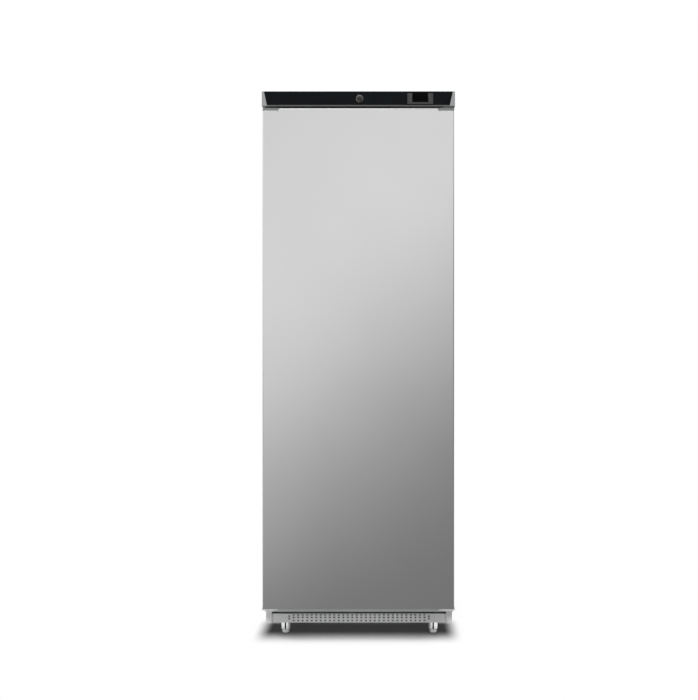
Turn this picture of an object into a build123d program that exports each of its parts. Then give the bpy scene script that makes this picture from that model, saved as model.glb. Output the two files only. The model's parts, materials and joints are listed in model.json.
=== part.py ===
from build123d import *
import os

# Upright storage freezer with one solid door, in millimetres.
# Origin: the middle of its footprint, on the floor. +X is right as seen from the front,
# the door faces -Y and +Z is up. Everything is drawn closed, unlocked and standing.

os.makedirs("parts", exist_ok=True)

# ---------------------------------------------------------------- overall
overall_width = 600.0       # control housing and lower corner plates
overall_depth = 600.0       # controller face to the back of the filter drier
overall_height = 1710.0     # floor to the top of the control housing
side_overhang = 2.5         # housing and plates stand out of the body at each side

# ---------------------------------------------------------------- heights
base_z = 43.0               # underside of the base, on the legs
base_height = 36.0
door_z = 104.0              # lower edge of the door skin
panel_height = 45.0         # control housing
door_panel_gap = 7.0        # door top to control housing
top_rim = 4.0               # housing top above the cabinet top
opening_z = 150.0           # floor of the cold space
opening_drop = 48.0         # door top down to the ceiling of the cold space

# ---------------------------------------------------------------- depths
controller_proud = 2.5      # controller face in front of the fascia
door_setback = 2.0          # door face behind the controller face
door_thickness = 55.0
gasket_space = 8.0
gasket_clearance = 0.3
condenser_space = 52.0      # back panel to the back of the filter drier

# ---------------------------------------------------------------- walls
sheet = 1.0
liner_wall = 2.0
frame_wall = 3.0
side_wall = 58.0            # outer face to liner face
rear_wall = 63.0
bay_wall = 58.0             # compressor bay to liner face
bay_depth = 215.0
bay_top_z = 330.0
liner_radius = 15.0

# ---------------------------------------------------------------- places worked out
half_width = overall_width / 2
body_half = half_width - side_overhang
inside_half = body_half - sheet
front_y = -overall_depth / 2
panel_y = front_y + controller_proud
door_y = front_y + door_setback
door_back_y = door_y + door_thickness
cabinet_y = door_back_y + gasket_space
liner_y = cabinet_y + frame_wall
cabinet_back_y = overall_depth / 2 - condenser_space
cabinet_z = base_z + base_height
panel_z = overall_height - panel_height
door_top_z = panel_z - door_panel_gap
cabinet_top_z = overall_height - top_rim
ceiling_z = door_top_z - opening_drop
cold_half = body_half - side_wall
cold_back_y = cabinet_back_y - rear_wall
bay_y = cabinet_back_y - bay_depth
step_y = bay_y - bay_wall
step_z = bay_top_z + bay_wall


def facing(y):
    """Upright plane at depth y that looks to the front; a negative extrude goes back."""
    return Plane.XZ.offset(-y)


def block(x, y, z, mode=Mode.ADD):
    """Box between the low and high value given for each axis."""
    with Locations(((x[0] + x[1]) / 2, (y[0] + y[1]) / 2, (z[0] + z[1]) / 2)):
        Box(x[1] - x[0], y[1] - y[0], z[1] - z[0], mode=mode)


def tube(path, radius):
    """Round bar of one radius along a wire."""
    with BuildPart() as swept:
        with BuildSketch(Plane(origin=path @ 0, z_dir=path % 0)):
            Circle(radius)
        sweep(path=path)
    return swept.part


def cold_space(grow):
    """Stepped space inside the liner, from the liner's front edge back, grown outwards."""
    with BuildPart() as space:
        with BuildSketch(Plane.YZ):
            with BuildLine():
                Polyline(
                    (liner_y, opening_z - grow),
                    (step_y + grow, opening_z - grow),
                    (step_y + grow, step_z - grow),
                    (cold_back_y + grow, step_z - grow),
                    (cold_back_y + grow, ceiling_z + grow),
                    (liner_y, ceiling_z + grow),
                    close=True,
                )
            make_face()
        extrude(amount=cold_half + grow, both=True)
        corners = space.edges().filter_by(Axis.Z).group_by(Axis.Y)[-1]
        corners += space.faces().sort_by(Axis.Z)[-1].edges().sort_by(Axis.Y)[1:]
        fillet(corners, liner_radius + grow)
    return space.part


# ================================================================ hinge and fixing places
hinge_edge = 14.5           # door side to the pin's axis
hinge_depth = 32.0          # door back to the pin's axis
pin_radius = 4.0
pin_clearance = 0.06
pin_reach = 20.0            # pin inside the door
bracket_plate = 4.0
bracket_flange = 3.0
bracket_gap_lower = 1.0     # plate to the door's lower edge
bracket_gap_upper = 2.0
bracket_reach = 45.0        # plate width, from its outer side inwards
bracket_setback = 2.0       # plate front behind the door face
bracket_taper = 10.0
flange_height = 19.0
screw_radius = 2.0
screw_length = 14.0
screw_head_radius = 4.5
screw_head_height = 2.2
screw_head_bevel = 0.8
screw_spacing = 24.0

hinge_x = body_half - hinge_edge
hinge_y = door_back_y - hinge_depth
lower_plate_z = door_z - bracket_gap_lower - bracket_plate
upper_plate_z = door_top_z + bracket_gap_upper
bracket_mid_x = half_width - bracket_reach / 2 - side_overhang
lower_screw_z = lower_plate_z + bracket_plate + flange_height / 2
upper_screw_z = upper_plate_z + bracket_plate + flange_height / 2
screw_places = [
    (x + side * screw_spacing / 2, z)
    for x, z in ((bracket_mid_x, lower_screw_z), (-bracket_mid_x, lower_screw_z),
                 (bracket_mid_x, upper_screw_z))
    for side in (-1, 1)
]

with BuildPart() as bracket_screws:
    with BuildSketch(facing(cabinet_y - bracket_flange)):
        with Locations(*screw_places):
            Circle(screw_head_radius)
    extrude(amount=screw_head_height)
    chamfer(bracket_screws.edges().group_by(Axis.Y)[0], screw_head_bevel)
    with BuildSketch(facing(cabinet_y - bracket_flange)):
        with Locations(*screw_places):
            Circle(screw_radius)
    extrude(amount=-screw_length)
bracket_screws.part.label = "bracket_screws"
screw_tip_y = cabinet_y - bracket_flange + screw_length


def hinge_bracket(plate_z, outer_x):
    """Angle bracket on the cabinet front, its plate reaching forward along the door's end."""
    inner_x = half_width - bracket_reach
    with BuildPart() as bracket:
        with BuildSketch(Plane.XY.offset(plate_z)):
            with BuildLine():
                Polyline(
                    (inner_x, cabinet_y),
                    (inner_x, door_y + bracket_setback + bracket_taper),
                    (inner_x + bracket_taper, door_y + bracket_setback),
                    (outer_x, door_y + bracket_setback),
                    (outer_x, cabinet_y),
                    close=True,
                )
            make_face()
        extrude(amount=bracket_plate)
        with BuildSketch(facing(cabinet_y)):
            with Locations(((inner_x + body_half) / 2, plate_z + bracket_plate)):
                Rectangle(body_half - inner_x, flange_height, align=(Align.CENTER, Align.MIN))
            with Locations(*screw_places):
                Circle(screw_radius, mode=Mode.SUBTRACT)
        extrude(amount=bracket_flange)
    return bracket.part


with BuildPart() as bottom_corner_plate:
    add(hinge_bracket(lower_plate_z, half_width).mirror(Plane.YZ))
bottom_corner_plate.part.label = "bottom_corner_plate"

with BuildPart() as bottom_hinge_bracket:
    add(hinge_bracket(lower_plate_z, half_width))
    with Locations((hinge_x, hinge_y, lower_plate_z)):
        Cylinder(pin_radius, 4 * bracket_plate, mode=Mode.SUBTRACT)
bottom_hinge_bracket.part.label = "bottom_hinge_bracket"

with BuildPart() as top_hinge_bracket:
    add(hinge_bracket(upper_plate_z, body_half))
    with Locations((hinge_x, hinge_y, upper_plate_z)):
        Cylinder(pin_radius, 4 * bracket_plate, mode=Mode.SUBTRACT)
top_hinge_bracket.part.label = "top_hinge_bracket"

# Two pins: the lower one has a collar that carries the door's bush.
collar_radius = 7.0
collar_gap = 0.3
tip_bevel = 1.0
with BuildPart() as hinge_pins:
    with BuildSketch(Plane.XY.offset(lower_plate_z)):
        with Locations((hinge_x, hinge_y)):
            Circle(pin_radius)
    extrude(amount=bracket_plate + bracket_gap_lower + pin_reach)
    with BuildSketch(Plane.XY.offset(lower_plate_z + bracket_plate)):
        with Locations((hinge_x, hinge_y)):
            Circle(collar_radius)
    extrude(amount=bracket_gap_lower - collar_gap)
    with BuildSketch(Plane.XY.offset(door_top_z - pin_reach)):
        with Locations((hinge_x, hinge_y)):
            Circle(pin_radius)
    extrude(amount=pin_reach + bracket_gap_upper + bracket_plate)
    for tip_z in (door_z + pin_reach, door_top_z - pin_reach):
        rim = hinge_pins.edges().filter_by_position(Axis.Z, tip_z, tip_z)
        chamfer(rim, tip_bevel)
hinge_pins.part.label = "hinge_pins"

# ================================================================ cabinet shells
with BuildPart() as side_panels:
    with BuildSketch(Plane.YZ.offset(body_half)):
        with Locations(((cabinet_y + cabinet_back_y) / 2, (cabinet_z + cabinet_top_z) / 2)):
            Rectangle(cabinet_back_y - cabinet_y, cabinet_top_z - cabinet_z)
    extrude(amount=-sheet)
    mirror(about=Plane.YZ)
side_panels.part.label = "side_panels"

with BuildPart() as top_panel:
    block((-inside_half, inside_half), (cabinet_y, cabinet_back_y),
          (cabinet_top_z - sheet, cabinet_top_z))
top_panel.part.label = "top_panel"

with BuildPart() as back_panel:
    block((-inside_half, inside_half), (cabinet_back_y - sheet, cabinet_back_y),
          (bay_top_z, cabinet_top_z - sheet))
back_panel.part.label = "back_panel"

# Pipes that climb from the compressor bay into the foam.
suction_radius = 4.0
capillary_radius = 1.25
pipe_bend = 20.0
pipe_play = 0.5
foam_reach = 30.0           # pipe length inside the foam
compressor_x = -40.0
suction_offset = 130.0      # compressor axis to the rising suction pipe
capillary_offset = 38.0
drier_inset = 57.5          # body side to the drier and its tail
compressor_y = (bay_y + cabinet_back_y) / 2
suction_x = compressor_x - suction_offset
drier_x = body_half - drier_inset
capillary_y = compressor_y + capillary_offset
roof_holes = [
    (suction_x, compressor_y, suction_radius + pipe_play),
    (drier_x, capillary_y, capillary_radius + pipe_play),
]

with BuildPart() as floor_plate:
    with BuildSketch(Plane.YZ):
        with BuildLine():
            Polyline(
                (liner_y, cabinet_z),
                (bay_y, cabinet_z),
                (bay_y, bay_top_z),
                (cabinet_back_y - sheet, bay_top_z),
                (cabinet_back_y - sheet, bay_top_z + sheet),
                (bay_y - sheet, bay_top_z + sheet),
                (bay_y - sheet, cabinet_z + sheet),
                (liner_y, cabinet_z + sheet),
                close=True,
            )
        make_face()
    extrude(amount=inside_half, both=True)
    for x, y, radius in roof_holes:
        with Locations((x, y, bay_top_z)):
            Cylinder(radius, 4 * sheet, mode=Mode.SUBTRACT)
floor_plate.part.label = "floor_plate"

with BuildPart() as inner_liner:
    add(cold_space(liner_wall))
    add(cold_space(0), mode=Mode.SUBTRACT)
inner_liner.part.label = "inner_liner"

with BuildPart() as foam_insulation:
    with BuildSketch(Plane.YZ):
        with BuildLine():
            Polyline(
                (liner_y, cabinet_z + sheet),
                (bay_y - sheet, cabinet_z + sheet),
                (bay_y - sheet, bay_top_z + sheet),
                (cabinet_back_y - sheet, bay_top_z + sheet),
                (cabinet_back_y - sheet, cabinet_top_z - sheet),
                (liner_y, cabinet_top_z - sheet),
                close=True,
            )
        make_face()
    extrude(amount=inside_half, both=True)
    add(cold_space(liner_wall), mode=Mode.SUBTRACT)
    for x, y, radius in roof_holes:
        with Locations((x, y, bay_top_z)):
            Cylinder(radius, 2 * (foam_reach + pipe_play), mode=Mode.SUBTRACT)
    with BuildSketch(facing(liner_y)):
        with Locations(*screw_places):
            Circle(screw_radius)
    extrude(amount=liner_y - screw_tip_y, mode=Mode.SUBTRACT)
foam_insulation.part.label = "foam_insulation"

with BuildPart() as breaker_frame:
    with BuildSketch(facing(cabinet_y)):
        with Locations((0, (cabinet_z + cabinet_top_z - sheet) / 2)):
            Rectangle(2 * inside_half, cabinet_top_z - sheet - cabinet_z)
        with Locations((0, (opening_z + ceiling_z) / 2)):
            Rectangle(2 * cold_half, ceiling_z - opening_z, mode=Mode.SUBTRACT)
        with Locations(*screw_places):
            Circle(screw_radius, mode=Mode.SUBTRACT)
    extrude(amount=-frame_wall)
breaker_frame.part.label = "breaker_frame"

# ================================================================ base
base_inset = 3.0            # body side to the base's side
post_width = 18.5
post_depth = 23.0
post_wall = 1.5
post_edge_radius = 1.2
rail_wall = 2.0
cross_depth = 40.0
plate_front_gap = 27.0      # bay front to the compressor plate
plate_flange = 18.0
leg_inset = 60.5            # body side to the legs
leg_front_setback = 110.0   # door face to the front legs
leg_rear_setback = 58.0     # cabinet back to the rear legs
leg_radius = 14.0
leg_groove_z = 12.6         # sleeve's underside, over a groove down to the foot's head
stud_radius = 5.0
stud_height = 15.0

post_x = body_half - base_inset - post_width
leg_x = body_half - leg_inset
leg_front_y = door_y + leg_front_setback
leg_rear_y = cabinet_back_y - leg_rear_setback
leg_places = [(x, y) for y in (leg_front_y, leg_rear_y) for x in (-leg_x, leg_x)]

with BuildPart() as corner_posts:
    with BuildSketch(Plane.XY.offset(base_z)):
        with Locations((post_x + post_width / 2, cabinet_y)):
            Rectangle(post_width, post_depth, align=(Align.CENTER, Align.MIN))
        with Locations((post_x + post_width / 2, cabinet_y + post_wall)):
            Rectangle(post_width - 2 * post_wall, post_depth,
                      align=(Align.CENTER, Align.MIN), mode=Mode.SUBTRACT)
    extrude(amount=base_height)
    fillet(corner_posts.edges().filter_by(Axis.Z).group_by(Axis.Y)[0], post_edge_radius)
    mirror(about=Plane.YZ)
corner_posts.part.label = "corner_posts"

with BuildPart() as base_rails:
    rail_length = cabinet_back_y - sheet - cabinet_y - post_depth
    with BuildSketch(facing(cabinet_y + post_depth)):
        with Locations((post_x + post_width / 2, base_z + base_height / 2)):
            Rectangle(post_width, base_height)
        with Locations((post_x, base_z + base_height / 2)):
            Rectangle(post_width - rail_wall, base_height - 2 * rail_wall,
                      align=(Align.MIN, Align.CENTER), mode=Mode.SUBTRACT)
    extrude(amount=-rail_length)
    mirror(about=Plane.YZ)
base_rails.part.label = "base_rails"


def channel(y_low, y_high, z_high):
    """Sheet channel across the base, open upwards, with holes for the leg studs."""
    with BuildPart() as bent:
        with BuildSketch(Plane.YZ):
            with Locations(((y_low + y_high) / 2, base_z)):
                Rectangle(y_high - y_low, z_high - base_z, align=(Align.CENTER, Align.MIN))
            with Locations(((y_low + y_high) / 2, base_z + rail_wall)):
                Rectangle(y_high - y_low - 2 * rail_wall, z_high - base_z,
                          align=(Align.CENTER, Align.MIN), mode=Mode.SUBTRACT)
        extrude(amount=post_x, both=True)
        with BuildSketch(Plane.XY.offset(base_z)):
            with Locations(*leg_places):
                Circle(stud_radius)
        extrude(amount=rail_wall, mode=Mode.SUBTRACT)
    return bent.part


with BuildPart() as base_cross_front:
    add(channel(leg_front_y - cross_depth / 2, leg_front_y + cross_depth / 2, cabinet_z))
base_cross_front.part.label = "base_cross_front"

with BuildPart() as compressor_plate:
    add(channel(bay_y + plate_front_gap, cabinet_back_y - sheet, base_z + plate_flange))
compressor_plate.part.label = "compressor_plate"

# Grille: thirty columns of three holes between two short columns of two.
grille_height = 28.0
grille_setback = 5.0        # grille face behind the posts' face
grille_wall = 1.2
grille_fold = 12.0
grille_side_gap = 54.35     # post to the end columns
hole_columns = 30
hole_width = 6.0
hole_height = 4.6
hole_rows = (6.0, 16.0, 24.0)
end_rows = (12.0, 20.0)
hole_pitch_x = 2 * (post_x - grille_side_gap) / (hole_columns + 1)

with BuildPart() as plinth_grille:
    with BuildSketch(Plane.YZ):
        with Locations((cabinet_y + grille_setback, base_z)):
            Rectangle(grille_fold, grille_height, align=(Align.MIN, Align.MIN))
        with Locations((cabinet_y + grille_setback + grille_wall, base_z + grille_wall)):
            Rectangle(grille_fold, grille_height - 2 * grille_wall,
                      align=(Align.MIN, Align.MIN), mode=Mode.SUBTRACT)
    extrude(amount=post_x, both=True)
    with BuildSketch(facing(cabinet_y + grille_setback)):
        for row in hole_rows:
            with Locations((0, base_z + row)):
                with GridLocations(hole_pitch_x, 1, hole_columns, 1):
                    Rectangle(hole_width, hole_height)
        for row in end_rows:
            with Locations((0, base_z + row)):
                with GridLocations(hole_pitch_x * (hole_columns + 1), 1, 2, 1):
                    Rectangle(hole_width, hole_height)
    extrude(amount=-grille_wall, mode=Mode.SUBTRACT)
plinth_grille.part.label = "plinth_grille"

# Legs: a bright sleeve on a stud, and a foot whose stem screws out of the sleeve.
stem_radius = 8.92
stem_clearance = 0.08
stem_top_gap = 6.0          # sleeve's upper wall
foot_radius = 11.5
foot_head = 10.0
foot_gap = 0.3              # stem to the sleeve's upper wall, with the foot screwed in
foot_chamfer = 3.5
leg_bore_top_z = base_z - stem_top_gap
with BuildPart() as leg_sleeves:
    with BuildSketch(Plane.XY.offset(leg_groove_z)):
        with Locations(*leg_places):
            Circle(leg_radius)
    extrude(amount=base_z - leg_groove_z)
    fillet(leg_sleeves.edges().group_by(Axis.Z)[0], 1.0)
    with BuildSketch(Plane.XY.offset(leg_groove_z)):
        with Locations(*leg_places):
            Circle(stem_radius + stem_clearance)
    extrude(amount=leg_bore_top_z - leg_groove_z, mode=Mode.SUBTRACT)
    with BuildSketch(Plane.XY.offset(base_z)):
        with Locations(*leg_places):
            Circle(stud_radius)
    extrude(amount=stud_height)
leg_sleeves.part.label = "leg_sleeves"

with BuildPart() as foot_master:
    with BuildSketch():
        Circle(foot_radius)
    extrude(amount=foot_head)
    chamfer(foot_master.edges().group_by(Axis.Z)[0], foot_chamfer)
    with BuildSketch(Plane.XY.offset(foot_head)):
        Circle(stem_radius)
    extrude(amount=leg_bore_top_z - foot_gap - foot_head)
feet = []
for number, (x, y) in enumerate(leg_places, 1):
    foot = foot_master.part.moved(Location((x, y, 0)))
    foot.label = f"foot_{number}"
    feet.append(foot)

# ================================================================ compressor bay
compressor_half_x = 95.0
compressor_half_y = 70.0
compressor_height = 165.0
compressor_dome = 38.0
seam_rise = 99.0            # can's lower edge to its weld seam
seam_width = 3.0
seam_height = 5.0
foot_plate_radius = 12.0
foot_plate = 3.0
foot_plate_x = 206.0
foot_plate_y = 146.0
grommet_height = 16.0
grommet_radius = 11.0
grommet_neck = 5.0
grommet_cap_radius = 8.0
grommet_cap_height = 4.0
grommet_spacing_x = 176.0
grommet_spacing_y = 116.0
cover_size = (34.0, 56.0, 70.0)
cover_rise = 48.0           # can's lower edge to the terminal cover
cover_sunk = 8.0            # cover's back inside the can's outermost line
cover_radius = 4.0
gland_radius = 7.0
gland_length = 16.0
gland_inset = 14.0          # cover's outer face to the gland's axis

grommet_z = base_z + rail_wall
foot_plate_z = grommet_z + grommet_height
shell_z = foot_plate_z + foot_plate
cover_z = shell_z + cover_rise

with BuildPart() as compressor:
    with BuildSketch(Plane.XY.offset(shell_z)):
        with Locations((compressor_x, compressor_y)):
            Ellipse(compressor_half_x, compressor_half_y)
    extrude(amount=compressor_height)
    fillet(compressor.edges().group_by(Axis.Z)[-1], compressor_dome)
    # The weld seam where the lid meets the can.
    with BuildSketch(Plane.XY.offset(shell_z + seam_rise)):
        with Locations((compressor_x, compressor_y)):
            Ellipse(compressor_half_x + seam_width, compressor_half_y + seam_width)
    extrude(amount=seam_height)
    with BuildSketch(Plane.XY.offset(foot_plate_z)):
        with Locations((compressor_x, compressor_y)):
            RectangleRounded(foot_plate_x, foot_plate_y, foot_plate_radius)
            with GridLocations(grommet_spacing_x, grommet_spacing_y, 2, 2):
                Circle(grommet_neck, mode=Mode.SUBTRACT)
    extrude(amount=foot_plate)
compressor.part.label = "compressor"

with BuildPart() as compressor_grommets:
    for z, radius, height in (
        (grommet_z, grommet_radius, grommet_height),
        (foot_plate_z, grommet_neck, foot_plate),
        (shell_z, grommet_cap_radius, grommet_cap_height),
    ):
        with BuildSketch(Plane.XY.offset(z)):
            with Locations((compressor_x, compressor_y)):
                with GridLocations(grommet_spacing_x, grommet_spacing_y, 2, 2):
                    Circle(radius)
        extrude(amount=height)
    add(compressor.part, mode=Mode.SUBTRACT)
compressor_grommets.part.label = "compressor_grommets"

with BuildPart() as compressor_terminal_cover:
    cover_x = compressor_x + compressor_half_x - cover_sunk
    block((cover_x, cover_x + cover_size[0]),
          (compressor_y - cover_size[1] / 2, compressor_y + cover_size[1] / 2),
          (cover_z, cover_z + cover_size[2]))
    fillet(compressor_terminal_cover.faces().sort_by(Axis.X)[-1].edges(), cover_radius)
    # Gland for the supply lead, pointing to the rear.
    with BuildSketch(facing(compressor_y + cover_size[1] / 2)):
        with Locations((cover_x + cover_size[0] - gland_inset, cover_z + gland_length)):
            Circle(gland_radius)
    extrude(amount=-gland_length)
    add(compressor.part, mode=Mode.SUBTRACT)
compressor_terminal_cover.part.label = "compressor_terminal_cover"

# ================================================================ condenser on the back
wire_radius = 0.8
coil_radius = 2.5
weld_gap = 0.05
coil_side_gap = 82.5        # body side to the coil's straight passes
coil_passes = 20
coil_top_drop = 146.0       # cabinet top to the first pass
coil_foot = 90.0            # bay top to the last pass
wire_side_gap_coil = 5.0    # end of the straight passes to the outermost wires
wire_count = 22
wire_overrun = 12.0
drier_radius = 8.0
drier_length = 110.0
drier_neck = 14.0
riser_inset = 25.5
discharge_rise = 86.0       # can's lower edge to the discharge pipe
suction_rise = 126.0
stub_start = 60.0           # pipes begin inside the can, this far from its axis
drier_gap = 10.0            # bay top to the drier
capillary_drop = 30.0

coil_y = overall_depth / 2 - drier_radius
coil_half = body_half - coil_side_gap
riser_x = body_half - riser_inset
wire_pitch = 2 * (coil_half - wire_side_gap_coil) / (wire_count - 1)
coil_top_z = cabinet_top_z - coil_top_drop
coil_bottom_z = bay_top_z + coil_foot
coil_pitch = (coil_top_z - coil_bottom_z) / (coil_passes - 1)
coil_turn = coil_pitch / 2
drier_top_z = bay_top_z - drier_gap
discharge_z = shell_z + discharge_rise
suction_z = shell_z + suction_rise

with BuildPart() as condenser_coil:
    with BuildLine() as coil_line:
        for turn in range(coil_passes):
            z = coil_top_z - turn * coil_pitch
            away = -1 if turn % 2 == 0 else 1
            Line((-away * coil_half, coil_y, z), (away * coil_half, coil_y, z))
            if turn < coil_passes - 1:
                ThreePointArc(
                    (away * coil_half, coil_y, z),
                    (away * (coil_half + coil_turn), coil_y, z - coil_turn),
                    (away * coil_half, coil_y, z - coil_pitch),
                )
        last = (coil_half, coil_y, coil_bottom_z)
        turn_radius = drier_x - coil_half
        TangentArc(last, (drier_x, coil_y, coil_bottom_z - turn_radius), tangent=(1, 0, 0))
        Line((drier_x, coil_y, coil_bottom_z - turn_radius), (drier_x, coil_y, drier_top_z))
    with BuildSketch(Plane(origin=(coil_half, coil_y, coil_top_z), z_dir=(-1, 0, 0))):
        Circle(coil_radius)
    sweep(path=coil_line.wire())
condenser_coil.part.label = "condenser_coil"

with BuildPart() as condenser_wires:
    with BuildSketch(Plane.XY.offset(coil_bottom_z - wire_overrun)):
        for side in (-1, 1):
            with Locations((0, coil_y + side * (coil_radius + weld_gap + wire_radius))):
                with GridLocations(wire_pitch, 1, wire_count, 1):
                    Circle(wire_radius)
    extrude(amount=coil_top_z - coil_bottom_z + 2 * wire_overrun)
condenser_wires.part.label = "condenser_wires"

bracket_inset_x = 75.0
bracket_inset_z = 110.0
pad_width = 30.0            # bracket's plate on the back panel
pad_height = 44.0
arm_width = 12.0
clip_width = 24.0
clip_height = 22.0
bracket_sheet = 2.0
bracket_half_x = coil_half - bracket_inset_x
with BuildPart() as condenser_brackets:
    wire_face_y = coil_y - coil_radius - 2 * wire_radius - 2 * weld_gap
    for x in (-bracket_half_x, bracket_half_x):
        for z in (coil_bottom_z + bracket_inset_z, coil_top_z - bracket_inset_z):
            block((x - pad_width / 2, x + pad_width / 2),
                  (cabinet_back_y, cabinet_back_y + bracket_sheet),
                  (z - pad_height / 2, z + pad_height / 2))
            block((x - arm_width / 2, x + arm_width / 2), (cabinet_back_y, wire_face_y),
                  (z, z + bracket_sheet))
            block((x - clip_width / 2, x + clip_width / 2),
                  (wire_face_y - bracket_sheet, wire_face_y), (z, z + clip_height))
condenser_brackets.part.label = "condenser_brackets"

with BuildPart() as filter_drier:
    with BuildSketch(Plane.XZ.offset(-coil_y)):
        with BuildLine():
            Polyline(
                (drier_x, drier_top_z),
                (drier_x + coil_radius, drier_top_z),
                (drier_x + drier_radius, drier_top_z - drier_neck),
                (drier_x + drier_radius, drier_top_z - drier_length + drier_neck),
                (drier_x + coil_radius, drier_top_z - drier_length),
                (drier_x, drier_top_z - drier_length),
                close=True,
            )
        make_face()
    revolve(axis=Axis((drier_x, coil_y, 0), (0, 0, 1)))
filter_drier.part.label = "filter_drier"

with BuildLine() as discharge_line:
    FilletPolyline(
        (compressor_x + stub_start, compressor_y, discharge_z),
        (compressor_x + stub_start, coil_y, discharge_z),
        (riser_x, coil_y, discharge_z),
        (riser_x, coil_y, coil_top_z),
        (coil_half, coil_y, coil_top_z),
        radius=pipe_bend,
    )
with BuildPart() as discharge_pipe:
    add(tube(discharge_line.wire(), coil_radius))
    add(compressor.part, mode=Mode.SUBTRACT)
discharge_pipe.part.label = "discharge_pipe"

with BuildLine() as suction_line:
    FilletPolyline(
        (compressor_x - stub_start, compressor_y, suction_z),
        (suction_x, compressor_y, suction_z),
        (suction_x, compressor_y, bay_top_z + foam_reach),
        radius=pipe_bend,
    )
with BuildPart() as suction_pipe:
    add(tube(suction_line.wire(), suction_radius))
    add(compressor.part, mode=Mode.SUBTRACT)
suction_pipe.part.label = "suction_pipe"

drier_foot_z = drier_top_z - drier_length
with BuildLine() as capillary_line:
    FilletPolyline(
        (drier_x, coil_y, drier_foot_z),
        (drier_x, coil_y, drier_foot_z - capillary_drop),
        (drier_x, capillary_y, drier_foot_z - capillary_drop),
        (drier_x, capillary_y, bay_top_z + foam_reach),
        radius=pipe_bend,
    )
with BuildPart() as capillary_tube:
    add(tube(capillary_line.wire(), capillary_radius))
capillary_tube.part.label = "capillary_tube"

# ================================================================ evaporator shelves
shelf_count = 5
first_shelf_gap = 27.0      # step top to the lowest shelf
shelf_tube_radius = 4.0
shelf_passes = 10
shelf_side_gap = 32.5       # side wall to the outermost passes
shelf_front_gap = 42.0      # liner edge to the first bend
shelf_rear_gap = 35.0       # rear wall to the tube ends
shelf_wire_radius = 2.0
shelf_wire_count = 12
wire_row_margin = 5.0       # coil's ends to the outermost wires
weld_depth = 1.0
wire_side_gap = 11.5        # wire end to the side wall
ledge_clearance = 0.1
upright_depth = 10.0
upright_width = 16.0
ledge_reach = 20.5
ledge_height = 6.0

shelf_rear_y = cold_back_y - shelf_rear_gap
shelf_front_y = liner_y + shelf_front_gap
end_x = cold_half - shelf_side_gap
shelf_pass_pitch = 2 * end_x / (shelf_passes - 1)
pass_turn = shelf_pass_pitch / 2
bend_front_y = shelf_front_y + pass_turn
bend_rear_y = shelf_rear_y - pass_turn
shelf_wire_z = shelf_tube_radius + shelf_wire_radius - weld_depth
first_shelf_z = step_z + first_shelf_gap
shelf_pitch = (ceiling_z - first_shelf_z) / shelf_count
shelf_levels = [first_shelf_z + shelf_pitch * n for n in range(shelf_count)]
shelf_wire_span = shelf_rear_y - shelf_front_y - 2 * wire_row_margin
shelf_wire_pitch = shelf_wire_span / (shelf_wire_count - 1)

with BuildPart() as shelf_master:
    with BuildLine() as shelf_line:
        Line((-end_x, shelf_rear_y, 0), (-end_x, bend_rear_y, 0))
        for n in range(shelf_passes):
            x = -end_x + n * shelf_pass_pitch
            forward = n % 2 == 0
            start_y = bend_rear_y if forward else bend_front_y
            stop_y = bend_front_y if forward else bend_rear_y
            Line((x, start_y, 0), (x, stop_y, 0))
            if n < shelf_passes - 1:
                bulge_y = stop_y - pass_turn if forward else stop_y + pass_turn
                ThreePointArc((x, stop_y, 0), (x + pass_turn, bulge_y, 0),
                              (x + shelf_pass_pitch, stop_y, 0))
        Line((end_x, bend_rear_y, 0), (end_x, shelf_rear_y, 0))
    with BuildSketch(Plane(origin=(-end_x, shelf_rear_y, 0), z_dir=(0, -1, 0))):
        Circle(shelf_tube_radius)
    sweep(path=shelf_line.wire())
    # Welded cross wires carry the goods.
    with BuildSketch(Plane.YZ.offset(-(cold_half - wire_side_gap))):
        with Locations(((shelf_front_y + shelf_rear_y) / 2, shelf_wire_z)):
            with GridLocations(shelf_wire_pitch, 1, shelf_wire_count, 1):
                Circle(shelf_wire_radius)
    extrude(amount=2 * (cold_half - wire_side_gap))
shelves = []
for number, level in enumerate(shelf_levels, 1):
    shelf = shelf_master.part.moved(Location((0, 0, level)))
    shelf.label = f"evaporator_shelf_{number}"
    shelves.append(shelf)

link_turn = 14.0
link_reach = 20.0
with BuildPart() as evaporator_links:
    for n in range(shelf_count - 1):
        x = end_x if n % 2 == 0 else -end_x
        with BuildLine() as link_line:
            FilletPolyline(
                (x, shelf_rear_y, shelf_levels[n]),
                (x, shelf_rear_y + link_reach, shelf_levels[n]),
                (x, shelf_rear_y + link_reach, shelf_levels[n + 1]),
                (x, shelf_rear_y, shelf_levels[n + 1]),
                radius=link_turn,
            )
        with BuildSketch(Plane(origin=(x, shelf_rear_y, shelf_levels[n]), z_dir=(0, 1, 0))):
            Circle(shelf_tube_radius)
        sweep(path=link_line.wire())
    # The first and last tube ends run on into the rear wall.
    last_x = -end_x if shelf_count % 2 == 0 else end_x
    for x, z in ((-end_x, shelf_levels[0]), (last_x, shelf_levels[-1])):
        with BuildSketch(Plane(origin=(x, shelf_rear_y, z), z_dir=(0, 1, 0))):
            Circle(shelf_tube_radius)
        extrude(amount=shelf_rear_gap)
evaporator_links.part.label = "evaporator_links"

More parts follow.
